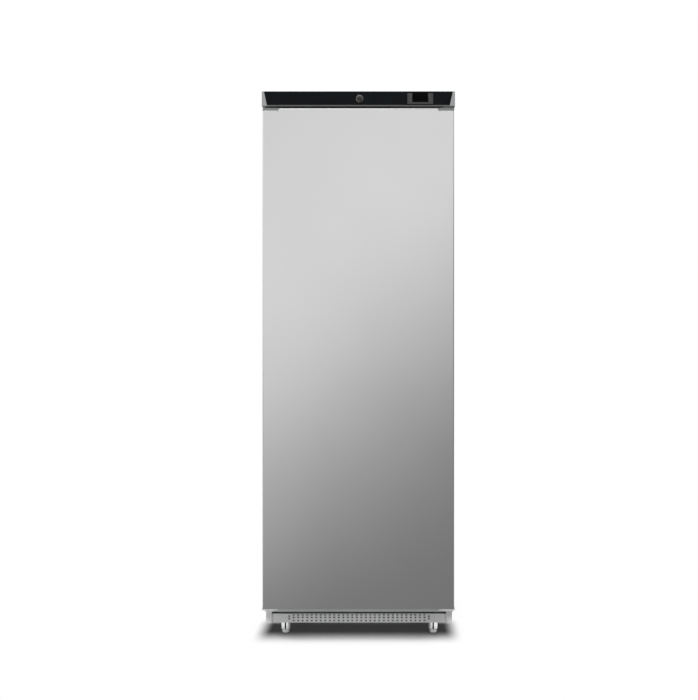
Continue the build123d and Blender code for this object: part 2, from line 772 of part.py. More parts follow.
wire_low_z = shelf_wire_z - shelf_wire_radius - ledge_clearance
wire_row_y = [(shelf_front_y + shelf_rear_y) / 2 + shelf_wire_pitch * (n - (shelf_wire_count - 1) / 2)
              for n in range(shelf_wire_count)]
upright_places = [(wire_row_y[1], opening_z), (wire_row_y[-2], step_z)]
with BuildPart() as shelf_supports:
    for y, foot_z in upright_places:
        block((cold_half - upright_depth, cold_half), (y - upright_width / 2, y + upright_width / 2),
              (foot_z, ceiling_z - liner_radius))
        for level in shelf_levels:
            block((cold_half - ledge_reach, cold_half),
                  (y - upright_width / 2, y + upright_width / 2),
                  (level + wire_low_z - ledge_height, level + wire_low_z))
    mirror(about=Plane.YZ)
shelf_supports.part.label = "shelf_supports"

probe_radius = 3.0
probe_length = 40.0
probe_y = 40.0
probe_edge_radius = 1.5
clip_play = 2.0             # probe to the side wall
clip_half_y = 6.0
clip_half_z = 5.0
with BuildPart() as temperature_probe:
    probe_x = cold_half - probe_radius - clip_play
    probe_z = (shelf_levels[-1] + shelf_levels[-2]) / 2
    with BuildSketch(Plane.XY.offset(probe_z - probe_length / 2)):
        with Locations((probe_x, probe_y)):
            Circle(probe_radius)
    extrude(amount=probe_length)
    fillet(temperature_probe.edges().filter_by(GeomType.CIRCLE), probe_edge_radius)
    block((probe_x - probe_radius - sheet, cold_half),
          (probe_y - clip_half_y, probe_y + clip_half_y),
          (probe_z - clip_half_z, probe_z + clip_half_z))
temperature_probe.part.label = "temperature_probe"

# ================================================================ control panel
panel_wall = 2.5
fascia_thickness = 3.0
fascia_z_gap = 2.6          # grey strip under the fascia
fascia_margin_top = 6.75
fascia_margin_bottom = 15.75
panel_edge_radius = 2.0
notch_play = 1.0            # housing round the hinge bracket's flange
lock_x = 4.0
lock_z_drop = 23.0          # housing top to the lock's axis
lock_rose_radius = 11.5
lock_body_radius = 9.5
lock_body_length = 25.5
lock_rose_bevel = 0.8
lock_face_recess = 0.4      # barrel face behind the rose
cam_gap = 0.2               # lock body to the cam
keyway_width = 1.4
keyway_height = 7.0
keyway_depth = 9.0
barrel_radius = 6.0
barrel_clearance = 0.08
cam_length = 40.0
cam_width = 14.0
cam_thickness = 3.0
cam_play = 3.0
controller_inset = 108.0    # housing side to the controller's middle
controller_z_drop = 22.5
bezel_width = 80.0
bezel_height = 34.0
bezel_radius = 3.0
bezel_bar = 5.5
window_width = 49.5
window_slant = 2.2
window_recess = 0.8
case_width = 70.0
case_height = 28.0
case_depth = 55.0
case_wall = 1.5
cutout_play = 0.5
key_width = 5.6
key_height = 9.0
key_offset_x = 29.6
key_offset_z = 7.0
key_play = 0.25
key_proud = 0.4
key_flange = 0.7
key_flange_edge = 0.6
key_flange_gap = 0.1        # bezel's back to the key's flange
key_stem_radius = 1.5
key_stem_length = 4.0

lock_z = overall_height - lock_z_drop
controller_x = half_width - controller_inset
controller_z = overall_height - controller_z_drop
cam_y = panel_y + lock_body_length
bezel_y = front_y + key_proud
slot_x = (lock_x - cam_width / 2 - cam_play, lock_x + cam_length + cam_play)
slot_y = (cam_y - cam_play, cam_y + cam_thickness + cam_play)

with BuildSketch(facing(panel_y), mode=Mode.PRIVATE) as fascia_outline:
    with BuildLine():
        Polyline(
            (-(half_width - fascia_margin_top), overall_height),
            (half_width - fascia_margin_top, overall_height),
            (half_width - fascia_margin_bottom, panel_z + fascia_z_gap),
            (-(half_width - fascia_margin_bottom), panel_z + fascia_z_gap),
            close=True,
        )
    make_face()


with BuildSketch(facing(panel_y), mode=Mode.PRIVATE) as panel_cutouts:
    with Locations((lock_x, lock_z)):
        Circle(lock_body_radius)
    with Locations((controller_x, controller_z)):
        Rectangle(case_width + 2 * cutout_play, case_height + 2 * cutout_play)

with BuildPart() as control_fascia:
    extrude(fascia_outline.sketch, amount=-fascia_thickness)
    extrude(panel_cutouts.sketch, amount=-fascia_thickness, mode=Mode.SUBTRACT)
control_fascia.part.label = "control_fascia"

with BuildPart() as control_housing:
    block((-half_width, half_width), (panel_y, cabinet_y), (panel_z, overall_height))
    fillet(control_housing.faces().sort_by(Axis.Y)[0].edges().filter_by(Axis.Z),
           panel_edge_radius)
    front_wall = fascia_thickness + panel_wall
    block((-half_width + panel_wall, half_width - panel_wall), (panel_y + front_wall, cabinet_y),
          (panel_z + panel_wall, overall_height - panel_wall), mode=Mode.SUBTRACT)
    extrude(fascia_outline.sketch, amount=-fascia_thickness, mode=Mode.SUBTRACT)
    extrude(panel_cutouts.sketch, amount=-front_wall, mode=Mode.SUBTRACT)
    # Slot for the lock's cam, and a notch round the hinge bracket's flange.
    block(slot_x, slot_y, (panel_z, panel_z + panel_wall), mode=Mode.SUBTRACT)
    block((half_width - bracket_reach - notch_play, body_half),
          (cabinet_y - bracket_flange - screw_head_height - notch_play, cabinet_y),
          (panel_z, panel_z + panel_wall), mode=Mode.SUBTRACT)
control_housing.part.label = "control_housing"

with BuildPart() as lock_body:
    with BuildSketch(facing(panel_y)):
        with Locations((lock_x, lock_z)):
            Circle(lock_rose_radius)
    extrude(amount=controller_proud)
    chamfer(lock_body.faces().sort_by(Axis.Y)[0].edges(), lock_rose_bevel)
    with BuildSketch(facing(panel_y)):
        with Locations((lock_x, lock_z)):
            Circle(lock_body_radius)
    extrude(amount=-(lock_body_length - cam_gap))
    with BuildSketch(facing(front_y)):
        with Locations((lock_x, lock_z)):
            Circle(barrel_radius + barrel_clearance)
    extrude(amount=-lock_body_length - controller_proud, mode=Mode.SUBTRACT)
lock_body.part.label = "lock_body"

with BuildPart() as lock_barrel:
    with BuildSketch(facing(front_y + lock_face_recess)):
        with Locations((lock_x, lock_z)):
            Circle(barrel_radius)
    extrude(amount=-(cam_y - front_y - lock_face_recess))
    with BuildSketch(facing(front_y + lock_face_recess)):
        with Locations((lock_x, lock_z)):
            Rectangle(keyway_width, keyway_height)
    extrude(amount=-keyway_depth, mode=Mode.SUBTRACT)
lock_barrel.part.label = "lock_barrel"

# The cam lies level when unlocked and turns down into the pocket in the door's top.
with BuildPart() as lock_cam:
    with BuildSketch(facing(cam_y)):
        with Locations((lock_x + cam_length / 2 - cam_width / 4, lock_z)):
            SlotOverall(cam_length + cam_width / 2, cam_width)
    extrude(amount=-cam_thickness)
lock_cam.part.label = "lock_cam"

def window_outline(y):
    """Display window at depth y: open to the bezel's top, its right side slanted."""
    low_z = controller_z - bezel_height / 2 + bezel_bar
    high_z = controller_z + bezel_height / 2
    with BuildSketch(facing(y), mode=Mode.PRIVATE) as outline:
        with BuildLine():
            Polyline(
                (controller_x - window_width / 2, low_z),
                (controller_x + window_width / 2 + window_slant / 2, low_z),
                (controller_x + window_width / 2 - window_slant / 2, high_z),
                (controller_x - window_width / 2, high_z),
                close=True,
            )
        make_face()
    return outline.sketch


with BuildPart() as display_window:
    extrude(window_outline(bezel_y + window_recess), amount=-(panel_y - bezel_y - window_recess))
display_window.part.label = "display_window"

key_places = [(controller_x + sx * key_offset_x, controller_z + sz * key_offset_z)
              for sx in (-1, 1) for sz in (1, -1)]
with BuildPart() as controller_bezel:
    with BuildSketch(facing(bezel_y)):
        with Locations((controller_x, controller_z)):
            RectangleRounded(bezel_width, bezel_height, bezel_radius)
        with Locations(*key_places):
            Rectangle(key_width + 2 * key_play, key_height + 2 * key_play, mode=Mode.SUBTRACT)
    extrude(amount=-(panel_y - bezel_y))
    extrude(window_outline(bezel_y), amount=-(panel_y - bezel_y), mode=Mode.SUBTRACT)
controller_bezel.part.label = "controller_bezel"

with BuildPart() as controller_case:
    with BuildSketch(facing(panel_y)):
        with Locations((controller_x, controller_z)):
            Rectangle(case_width, case_height)
    extrude(amount=-case_depth)
    with BuildSketch(facing(panel_y)):
        with Locations((controller_x, controller_z)):
            Rectangle(case_width - 2 * case_wall, case_height - 2 * case_wall)
    extrude(amount=-(case_depth - case_wall), mode=Mode.SUBTRACT)
controller_case.part.label = "controller_case"

keys = []
for number, (x, z) in enumerate(key_places, 1):
    with BuildPart() as key:
        with BuildSketch(facing(front_y)):
            with Locations((x, z)):
                RectangleRounded(key_width, key_height, 1.0)
        extrude(amount=-(panel_y - front_y + key_flange_gap))
        with BuildSketch(facing(panel_y + key_flange_gap)):
            with Locations((x, z)):
                Rectangle(key_width + 2 * key_flange_edge, key_height + 2 * key_flange_edge)
        extrude(amount=-key_flange)
        with BuildSketch(facing(panel_y + key_flange_gap + key_flange)):
            with Locations((x, z)):
                Circle(key_stem_radius)
        extrude(amount=-key_stem_length)
    key.part.label = f"key_{number}"
    keys.append(key.part)

# ================================================================ door
door_radius = 4.0           # bent front edges of the skin
cap_height = 4.0
corner_width = 53.0         # grey corner piece of the top cap
corner_slant = 5.0
corner_height = 8.0
corner_gap = 1.0            # corner piece to the skin's edge under it
skin_drop = 1.0             # top of the cap to the skin's upper edge
boss_half = 12.0
bush_radius = 7.0
bush_length = 18.0
boss_height = 24.0
slot_depth = 14.0
slot_wall = 2.0
lip_height = 6.0
lip_depth = 12.0
lip_end_gap = 5.0           # lower plate to the lip
lip_setback = 1.0
dike_margin = 7.5
dike_margin_z = 12.0
dike_depth = 20.0
dike_taper = 8.0
dike_radius = 10.0
bush_play = 1.0             # bore behind the bush, round the pin and past its end
gasket_edge = 22.5          # door side to the gasket
gasket_width = 22.0
gasket_base = 3.0
gasket_step = 3.0
grip_low_z = 820.0
grip_length = 300.0
grip_width = 28.0
grip_depth = 24.0
grip_setback = 9.0          # door face to the grip
grip_wall = 2.0

lip_half = half_width - bracket_reach - lip_end_gap
grip_y = (door_y + grip_setback, door_y + grip_setback + grip_width)
grip_z = (grip_low_z, grip_low_z + grip_length)
cam_pocket = (
    (slot_x[0] - slot_wall, slot_x[1] + slot_wall),
    (slot_y[0] - slot_wall, slot_y[1] + slot_wall),
    (door_top_z - slot_depth - slot_wall, door_top_z),
)


def door_plan(z, inset):
    """Plan of the door at height z, inset from the skin's outside, its front corners round."""
    with BuildSketch(Plane.XY.offset(z), mode=Mode.PRIVATE) as plan:
        with Locations((0, door_back_y)):
            Rectangle(2 * (body_half - inset), door_thickness - inset,
                      align=(Align.CENTER, Align.MAX))
        fillet(plan.vertices().group_by(Axis.Y)[0], door_radius - inset)
    return plan.sketch


def corner_notches(gap):
    """Both top corners of the skin, less a gap below, that the cap's corner pieces fill."""
    with BuildPart(mode=Mode.PRIVATE) as notches:
        with BuildSketch(facing(door_y)):
            with BuildLine():
                Polyline(
                    (body_half, door_top_z),
                    (body_half - corner_width, door_top_z),
                    (body_half - corner_width + corner_slant, door_top_z - corner_height + gap),
                    (body_half, door_top_z - corner_height + gap),
                    close=True,
                )
            make_face()
        extrude(amount=-door_thickness + liner_wall)
        mirror(about=Plane.YZ)
    return notches.part


with BuildPart() as door_skin:
    extrude(door_plan(door_z, 0), amount=door_top_z - skin_drop - door_z)
    extrude(door_plan(door_z, sheet), amount=door_top_z - door_z, mode=Mode.SUBTRACT)
    add(corner_notches(0), mode=Mode.SUBTRACT)
    block((-body_half, -body_half + 2 * sheet), grip_y, grip_z, mode=Mode.SUBTRACT)
door_skin.part.label = "door_skin"

with BuildPart() as door_inner_panel:
    block((-inside_half, inside_half), (door_back_y - liner_wall, door_back_y),
          (door_z, door_top_z))
    dike_mid_z = (opening_z + ceiling_z) / 2
    dike_half = cold_half - dike_margin
    dike_height = ceiling_z - opening_z - 2 * dike_margin_z
    with BuildSketch(facing(door_back_y)):
        with Locations((0, dike_mid_z)):
            RectangleRounded(2 * dike_half, dike_height, dike_radius)
    extrude(amount=-dike_depth, taper=-dike_taper)
    with BuildSketch(facing(door_back_y - liner_wall)):
        with Locations((0, dike_mid_z)):
            RectangleRounded(2 * (dike_half - liner_wall), dike_height - 2 * liner_wall,
                             dike_radius - liner_wall)
    extrude(amount=-dike_depth, taper=-dike_taper, mode=Mode.SUBTRACT)
door_inner_panel.part.label = "door_inner_panel"


def door_cap(z_outer, inward):
    """End cap inside the skin: a plate and two bosses for the hinge bush, either side."""
    with BuildPart(mode=Mode.PRIVATE) as cap:
        extrude(door_plan(z_outer, sheet), amount=inward * cap_height)
        for x in (-hinge_x, hinge_x):
            with BuildSketch(Plane.XY.offset(z_outer)):
                with Locations((x, hinge_y)):
                    Rectangle(2 * boss_half, 2 * boss_half)
            extrude(amount=inward * boss_height)
        block((-half_width, half_width), (door_back_y - liner_wall, door_back_y),
              (z_outer - 2 * boss_height, z_outer + 2 * boss_height), mode=Mode.SUBTRACT)
    return cap.part


with BuildPart() as door_top_cap:
    add(door_cap(door_top_z, -1))
    add(corner_notches(corner_gap))
    extrude(door_plan(door_top_z - boss_height, 0), amount=boss_height, mode=Mode.INTERSECT)
    block(*cam_pocket)
    block(slot_x, slot_y, (door_top_z - slot_depth, door_top_z), mode=Mode.SUBTRACT)
    for x in (-hinge_x, hinge_x):
        with BuildSketch(Plane.XY.offset(door_top_z)):
            with Locations((x, hinge_y)):
                Circle(bush_radius)
        extrude(amount=-bush_length, mode=Mode.SUBTRACT)
        with BuildSketch(Plane.XY.offset(door_top_z)):
            with Locations((x, hinge_y)):
                Circle(pin_radius + bush_play)
        extrude(amount=-(pin_reach + 2 * bush_play), mode=Mode.SUBTRACT)
door_top_cap.part.label = "door_top_cap"

with BuildPart() as door_bottom_cap:
    add(door_cap(door_z, 1))
    block((-lip_half, lip_half), (door_y + lip_setback, door_y + lip_setback + lip_depth),
          (door_z - lip_height, door_z))
    for x in (-hinge_x, hinge_x):
        with BuildSketch(Plane.XY.offset(door_z)):
            with Locations((x, hinge_y)):
                Circle(bush_radius)
        extrude(amount=bush_length, mode=Mode.SUBTRACT)
        with BuildSketch(Plane.XY.offset(door_z)):
            with Locations((x, hinge_y)):
                Circle(pin_radius + bush_play)
        extrude(amount=pin_reach + 2 * bush_play, mode=Mode.SUBTRACT)
door_bottom_cap.part.label = "door_bottom_cap"

with BuildPart() as door_bushes:
    for z, inward in ((door_z, 1), (door_top_z, -1)):
        with BuildSketch(Plane.XY.offset(z)):
            with Locations((hinge_x, hinge_y)):
                Circle(bush_radius)
                Circle(pin_radius + pin_clearance, mode=Mode.SUBTRACT)
        extrude(amount=inward * bush_length)
door_bushes.part.label = "door_bushes"

with BuildPart() as door_grip:
    block((-body_half, -body_half + grip_depth), grip_y, grip_z)
    block((-body_half, -body_half + grip_depth - grip_wall),
          (grip_y[0] + grip_wall, grip_y[1] - grip_wall),
          (grip_z[0] + grip_wall, grip_z[1] - grip_wall), mode=Mode.SUBTRACT)
door_grip.part.label = "door_grip"

with BuildPart() as door_foam:
    extrude(door_plan(door_z, sheet), amount=door_top_z - door_z)
    with BuildSketch(facing(door_back_y - liner_wall)):
        with Locations((0, dike_mid_z)):
            RectangleRounded(2 * (dike_half - liner_wall), dike_height - 2 * liner_wall,
                             dike_radius - liner_wall)
    extrude(amount=-dike_depth, taper=-dike_taper)
    add(door_inner_panel.part, mode=Mode.SUBTRACT)
    add(door_cap(door_z, 1), mode=Mode.SUBTRACT)
    add(door_cap(door_top_z, -1), mode=Mode.SUBTRACT)
    add(corner_notches(0), mode=Mode.SUBTRACT)
    block(*cam_pocket, mode=Mode.SUBTRACT)
    block((-body_half, -body_half + grip_depth), grip_y, grip_z, mode=Mode.SUBTRACT)
door_foam.part.label = "door_foam"

with BuildPart() as door_gasket:
    gasket_depth = gasket_space - gasket_clearance
    gasket_half = body_half - gasket_edge
    gasket_mid_z = (door_z + door_top_z) / 2
    gasket_height = door_top_z - door_z - 2 * gasket_edge
    with BuildSketch(facing(door_back_y)):
        with Locations((0, gasket_mid_z)):
            Rectangle(2 * (gasket_half - gasket_step), gasket_height - 2 * gasket_step)
            Rectangle(2 * (gasket_half - gasket_width + gasket_step),
                      gasket_height - 2 * (gasket_width - gasket_step), mode=Mode.SUBTRACT)
    extrude(amount=-gasket_base)
    with BuildSketch(facing(door_back_y + gasket_base)):
        with Locations((0, gasket_mid_z)):
            Rectangle(2 * gasket_half, gasket_height)
            Rectangle(2 * (gasket_half - gasket_width), gasket_height - 2 * gasket_width,
                      mode=Mode.SUBTRACT)
    extrude(amount=-(gasket_depth - gasket_base))
door_gasket.part.label = "door_gasket"

# ================================================================ files
for piece in [
    side_panels.part, top_panel.part, back_panel.part, floor_plate.part,
    foam_insulation.part, inner_liner.part, breaker_frame.part,
    corner_posts.part, base_rails.part, base_cross_front.part, compressor_plate.part,
    plinth_grille.part, leg_sleeves.part, *feet,
    compressor.part, compressor_grommets.part, compressor_terminal_cover.part,
    condenser_coil.part, condenser_wires.part, condenser_brackets.part,
    filter_drier.part, discharge_pipe.part, suction_pipe.part, capillary_tube.part,
    *shelves, evaporator_links.part, shelf_supports.part, temperature_probe.part,
    control_housing.part, control_fascia.part, controller_case.part, controller_bezel.part,
    display_window.part, lock_body.part, lock_barrel.part, lock_cam.part, *keys,
    top_hinge_bracket.part, bottom_hinge_bracket.part, hinge_pins.part,
    bottom_corner_plate.part, bracket_screws.part,
    door_skin.part, door_foam.part, door_inner_panel.part, door_top_cap.part,
    door_bottom_cap.part, door_grip.part, door_gasket.part, door_bushes.part,
]:
    export_step(piece, f"parts/{piece.label}.step")
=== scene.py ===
import json
import math

import bmesh
import bpy
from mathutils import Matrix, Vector

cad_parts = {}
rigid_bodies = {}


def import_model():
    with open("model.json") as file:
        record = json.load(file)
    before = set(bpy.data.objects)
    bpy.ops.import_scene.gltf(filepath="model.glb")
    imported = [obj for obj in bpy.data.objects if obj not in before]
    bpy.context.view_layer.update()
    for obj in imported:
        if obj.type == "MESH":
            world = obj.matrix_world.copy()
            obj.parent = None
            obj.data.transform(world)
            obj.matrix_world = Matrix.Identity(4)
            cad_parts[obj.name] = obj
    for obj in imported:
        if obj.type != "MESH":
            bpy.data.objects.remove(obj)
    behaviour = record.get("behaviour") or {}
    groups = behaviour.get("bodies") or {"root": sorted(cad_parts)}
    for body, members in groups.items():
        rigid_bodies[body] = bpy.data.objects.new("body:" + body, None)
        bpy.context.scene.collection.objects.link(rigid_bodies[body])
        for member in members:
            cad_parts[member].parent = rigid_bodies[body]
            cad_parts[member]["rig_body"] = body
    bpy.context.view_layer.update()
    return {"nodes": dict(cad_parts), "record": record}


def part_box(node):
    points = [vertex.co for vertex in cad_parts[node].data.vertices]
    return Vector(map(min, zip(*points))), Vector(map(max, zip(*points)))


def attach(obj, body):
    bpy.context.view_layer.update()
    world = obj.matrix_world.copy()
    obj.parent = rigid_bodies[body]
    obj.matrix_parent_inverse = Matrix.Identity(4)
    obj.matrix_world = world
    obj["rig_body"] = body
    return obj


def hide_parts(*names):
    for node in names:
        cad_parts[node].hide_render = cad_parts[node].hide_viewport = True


# Upright storage freezer: one stainless door under a black control panel, on chromed legs.
# Metres, +X right as seen from the front, the door faces -Y, +Z up.

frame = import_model()
scene = bpy.context.scene
MM = 0.001


# ---------------------------------------------------------------- helpers
def linear(code):
    """An sRGB hex colour as the linear values that a shader takes."""
    parts = [int(code[i:i + 2], 16) / 255 for i in (1, 3, 5)]
    return [c / 12.92 if c <= 0.04045 else ((c + 0.055) / 1.055) ** 2.4 for c in parts] + [1.0]


def grey(level):
    """A linear level of light as a colour."""
    return (level, level, level, 1)


def add(tree, kind, values=(), links=(), **settings):
    """Adds one node: its settings, the values of its inputs and the sockets that feed them."""
    made = tree.nodes.new("ShaderNode" + kind)
    for name, value in settings.items():
        setattr(made, name, value)
    for socket, value in dict(values).items():
        made.inputs[socket].default_value = value
    for socket, source in dict(links).items():
        tree.links.new(source, made.inputs[socket])
    return made


def set_stops(ramp, stops):
    """Gives a colour ramp its stops, as (position, colour) pairs from left to right."""
    elements = ramp.color_ramp.elements
    while len(elements) < len(stops):
        elements.new(0.5)
    for element, (position, colour) in zip(elements, stops):
        element.position = position
        element.color = colour


GRAIN_SHARE = 0.3                   # of the fine pattern in the colour; the rest is the cloud
SHADES_START, SHADES_SPAN = 0.3, 0.4    # where the shades lie on the patterns' values


def finish(name, shades, rough, broad, fine, relief, texture="TexNoise", output=0, **values):
    """A whole finish. A broad cloud shifts the colour between the shades, and a fine pattern
    gives the sheen and the relief. broad and fine are sizes in mm along x, y and z, rough is
    the roughness low and high, and relief is the fine pattern's depth in mm and its strength.
    The values go straight onto the shader."""
    made = bpy.data.materials.new(name)
    made.use_nodes = True
    tree = made.node_tree
    shader = tree.nodes["Principled BSDF"]
    for socket, value in values.items():
        shader.inputs[socket.replace("_", " ")].default_value = value
    place = add(tree, "TexCoord").outputs["Object"]
    fields = []
    for kind, size, taken in (("TexNoise", broad, 0), (texture, fine, output)):
        scale = [1 / (mm * MM) for mm in size]
        laid = add(tree, "Mapping", {"Scale": scale}, {"Vector": place})
        pattern = add(tree, kind, {"Scale": 1.0}, {"Vector": laid.outputs[0]})
        fields.append(pattern.outputs[taken])
    cloud, grain = fields
    both = add(tree, "Math", {1: GRAIN_SHARE, 2: 0.0}, {0: grain}, operation="MULTIPLY_ADD")
    both = add(tree, "Math", {1: 1 - GRAIN_SHARE}, {0: cloud, 2: both.outputs[0]},
               operation="MULTIPLY_ADD")
    ramp = add(tree, "ValToRGB", links={"Fac": both.outputs[0]})
    set_stops(ramp, [(SHADES_START + SHADES_SPAN * index / (len(shades) - 1), linear(code))
                     for index, code in enumerate(shades)])
    tree.links.new(ramp.outputs["Color"], shader.inputs["Base Color"])
    sheen = add(tree, "MapRange", {"To Min": rough[0], "To Max": rough[1]}, {"Value": grain})
    tree.links.new(sheen.outputs[0], shader.inputs["Roughness"])
    bump = add(tree, "Bump", {"Strength": relief[1], "Distance": relief[0] * MM},
               {"Height": grain})
    tree.links.new(bump.outputs["Normal"], shader.inputs["Normal"])
    return made


# ---------------------------------------------------------------- materials
# Stainless sheet, ground with a fine belt: soft, smooth reflections with a faint upright grain.
# Real grain lines are 0.1 mm wide; here they are 0.9 mm, so that they show.
stainless = finish(
    "stainless_sheet_ground", ("#cbcbcb", "#d0d0d0"), (0.19, 0.26), broad=(300, 300, 420),
    fine=(0.9, 0.9, 140), relief=(0.004, 0.2), Metallic=1.0, Anisotropic=0.3,
    Anisotropic_Rotation=0.25)

# Stainless, bead blasted and punched: even, silky grey, more a glow than a reflection.
stainless_blasted = finish(
    "stainless_sheet_blasted", ("#c0c1c1", "#cacaca"), (0.5, 0.62), broad=(110, 110, 40),
    fine=(0.7, 0.7, 0.7), relief=(0.01, 0.3), Metallic=0.3, Specular_IOR_Level=0.4)

# Stainless, satin: the corner posts, pale below where they mirror the floor, dark above.
stainless_satin = finish(
    "stainless_sheet_satin", ("#d2d2d2", "#dadada"), (0.3, 0.4), broad=(60, 60, 30),
    fine=(30, 30, 1.4), relief=(0.004, 0.2), Metallic=0.8)

# Stainless, tumbled matt and paler than the sheet, a painted highlight: the thin white edges of
# the two plates under the door.
stainless_tumbled_painted_highlight = finish(
    "stainless_sheet_tumbled_painted_highlight", ("#dadada", "#e2e2e2"), (0.36, 0.5), broad=(20, 20, 20),
    fine=(1.0, 1.0, 1.0), relief=(0.006, 0.3), Metallic=0.25)

# Chromium plating on turned steel: mirror bright, with fine turning rings.
chrome = finish(
    "chromium_plate", ("#dcdedf", "#ececed"), (0.06, 0.13), broad=(20, 20, 20),
    fine=(40, 40, 1.1), relief=(0.008, 0.12), Metallic=1.0)

# Zinc alloy of the lock, nickel plated over a dark ground: dull grey brown on the barrel and
# the rose's dish.
nickel_dark = finish(
    "zinc_alloy_dark_nickel", ("#3a3936", "#454340"), (0.2, 0.32), broad=(6, 6, 6),
    fine=(0.5, 0.5, 0.5), relief=(0.006, 0.3), Metallic=1.0)

# The same plating, paler: a painted highlight on the rose's rim, which draws a thin pale ring.
nickel_rim_painted_highlight = finish(
    "zinc_alloy_nickel_painted_highlight", ("#8b8987", "#9a9896"), (0.14, 0.24), broad=(6, 6, 6),
    fine=(0.5, 0.5, 0.5), relief=(0.006, 0.3), Metallic=1.0)

# Hot-dip galvanised sheet: dull zinc in crystal patches, 12 mm across.
galvanised = finish(
    "galvanised_sheet", ("#9ea2a4", "#b0b4b6", "#c0c4c6"), (0.36, 0.58), broad=(120, 120, 120),
    fine=(12, 12, 12), relief=(0.01, 0.3), texture="TexVoronoi", output="Color", Metallic=0.9)

# Zinc-plated steel, passivated: grey silver with a slight cloudiness.
zinc_plate = finish(
    "zinc_plated_steel", ("#a9acae", "#c2c4c6"), (0.24, 0.4), broad=(9, 9, 9),
    fine=(1.2, 1.2, 1.2), relief=(0.006, 0.3), Metallic=1.0)

# ABS, injection moulded against a spark-eroded tool: satin silver grey with a fine grain.
abs_grey = finish(
    "abs_moulded_silver_grey", ("#8b8c8d", "#959696"), (0.36, 0.5), broad=(120, 120, 30),
    fine=(0.7, 0.7, 0.7), relief=(0.012, 0.3), Specular_IOR_Level=0.4)

# The same ABS a shade darker, as painted shade: the corner pieces on the door, in the panel's
# shade.
abs_painted_shade = finish(
    "abs_moulded_painted_shade_grey", ("#727374", "#7c7d7e"), (0.36, 0.5), broad=(120, 120, 30),
    fine=(0.7, 0.7, 0.7), relief=(0.012, 0.3), Specular_IOR_Level=0.4)

# The same ABS darker still, as painted shade: the narrow bar of the housing's front, in the
# shade under the fascia.
abs_bar_painted_shade = finish(
    "abs_moulded_bar_painted_shade", ("#525354", "#5b5c5d"), (0.36, 0.5), broad=(120, 120, 30),
    fine=(0.7, 0.7, 0.7), relief=(0.012, 0.3), Specular_IOR_Level=0.3)

# Acrylic, back-printed black: deep gloss, with only a trace of reflection in the picture.
acrylic_black = finish(
    "acrylic_back_printed_black", ("#0a0d10", "#121518"), (0.1, 0.16), broad=(240, 60, 60),
    fine=(40, 20, 20), relief=(0.01, 0.05), Specular_IOR_Level=0.05)

# Polycarbonate and ABS blend, matt dark grey: the controller's bezel and case, and the
# compressor's terminal cover.
blend_dark = finish(
    "pc_abs_moulded_dark_grey", ("#303030", "#383838"), (0.42, 0.56), broad=(40, 20, 20),
    fine=(0.6, 0.6, 0.6), relief=(0.012, 0.3), Specular_IOR_Level=0.35)

# Keys of the same blend, worn a little brighter by fingers.
blend_keys = finish(
    "pc_abs_moulded_key_grey", ("#3d3c3b", "#474645"), (0.32, 0.44), broad=(8, 8, 8),
    fine=(0.6, 0.6, 0.6), relief=(0.01, 0.25), Specular_IOR_Level=0.4)

# Smoked polycarbonate window: nearly black, polished.
window_black = finish(
    "polycarbonate_smoked", ("#010101", "#060707"), (0.07, 0.1), broad=(22, 22, 10),
    fine=(8, 8, 8), relief=(0.004, 0.05), Specular_IOR_Level=0.03)

# High-impact polystyrene, vacuum formed: white, satin, with a slight orange peel.
liner_white = finish(
    "polystyrene_formed_white", ("#e6e8e9", "#eff0f0"), (0.24, 0.34), broad=(220, 220, 160),
    fine=(3.5, 3.5, 3.5), relief=(0.01, 0.12), Specular_IOR_Level=0.5)

# PVC profile round the opening: pale grey, extruded, with lines along its length.
pvc_pale = finish(
    "pvc_extruded_pale_grey", ("#bfc1c3", "#c7c9ca"), (0.36, 0.5), broad=(60, 60, 90),
    fine=(3, 3, 60), relief=(0.02, 0.25))

# Polyurethane foam, free risen: matt straw colour with 0.8 mm cells, drawn 1.6 mm.
foam_straw = finish(
    "polyurethane_foam", ("#cdbd8c", "#e5d9af"), (0.9, 1.0), broad=(14, 14, 14),
    fine=(1.6, 1.6, 1.6), relief=(0.4, 0.6), texture="TexVoronoi")

# Soft PVC door seal: grey, extruded, slightly waxy.
seal_grey = finish(
    "pvc_soft_seal_grey", ("#7f8284", "#898c8e"), (0.42, 0.58), broad=(40, 40, 40),
    fine=(6, 6, 6), relief=(0.02, 0.25), Specular_IOR_Level=0.4)

# Nitrile rubber, moulded: black and dull with a dusty bloom.
rubber = finish(
    "nitrile_rubber", ("#161616", "#262626"), (0.6, 0.85), broad=(12, 12, 12),
    fine=(2.5, 2.5, 2.5), relief=(0.03, 0.3), Specular_IOR_Level=0.3)

# Stoved black enamel on the compressor and condenser: glossy with a little orange peel.
enamel_black = finish(
    "stoved_enamel_black", ("#0e0e0f", "#171718"), (0.22, 0.36), broad=(50, 50, 50),
    fine=(2.6, 2.6, 2.6), relief=(0.03, 0.35), Coat_Weight=0.4, Coat_Roughness=0.1)

# Dark grey on the base's cross member and the upper bracket: painted shade, as they are seen
# only in shadow. Dull.
shade_painted_dark = finish(
    "painted_shade_dark_grey", ("#5c5d5e", "#6a6b6c"), (0.6, 0.75), broad=(60, 60, 60),
    fine=(1.5, 1.5, 1.5), relief=(0.02, 0.3), Specular_IOR_Level=0.3)

# Copper tube, drawn and brazed: warm, dulled in patches by handling.
copper = finish(
    "copper_tube_drawn", ("#a8633f", "#c98563", "#d89a77"), (0.22, 0.42), broad=(24, 24, 24),
    fine=(3, 3, 3), relief=(0.01, 0.3), Metallic=1.0)

# Polyester powder on the evaporator shelves: off-white, with a fine texture.
powder_white = finish(
    "powder_coat_off_white", ("#d6d9da", "#e2e4e5"), (0.34, 0.48), broad=(80, 80, 80),
    fine=(1.8, 1.8, 1.8), relief=(0.04, 0.35))

# Nylon, moulded in its natural colour: creamy white and faintly translucent.
nylon = finish(
    "nylon_natural", ("#dfdcd0", "#e9e7dc"), (0.36, 0.5), broad=(14, 14, 14),
    fine=(3, 3, 3), relief=(0.02, 0.25), Subsurface_Weight=0.08, Subsurface_Scale=0.004)

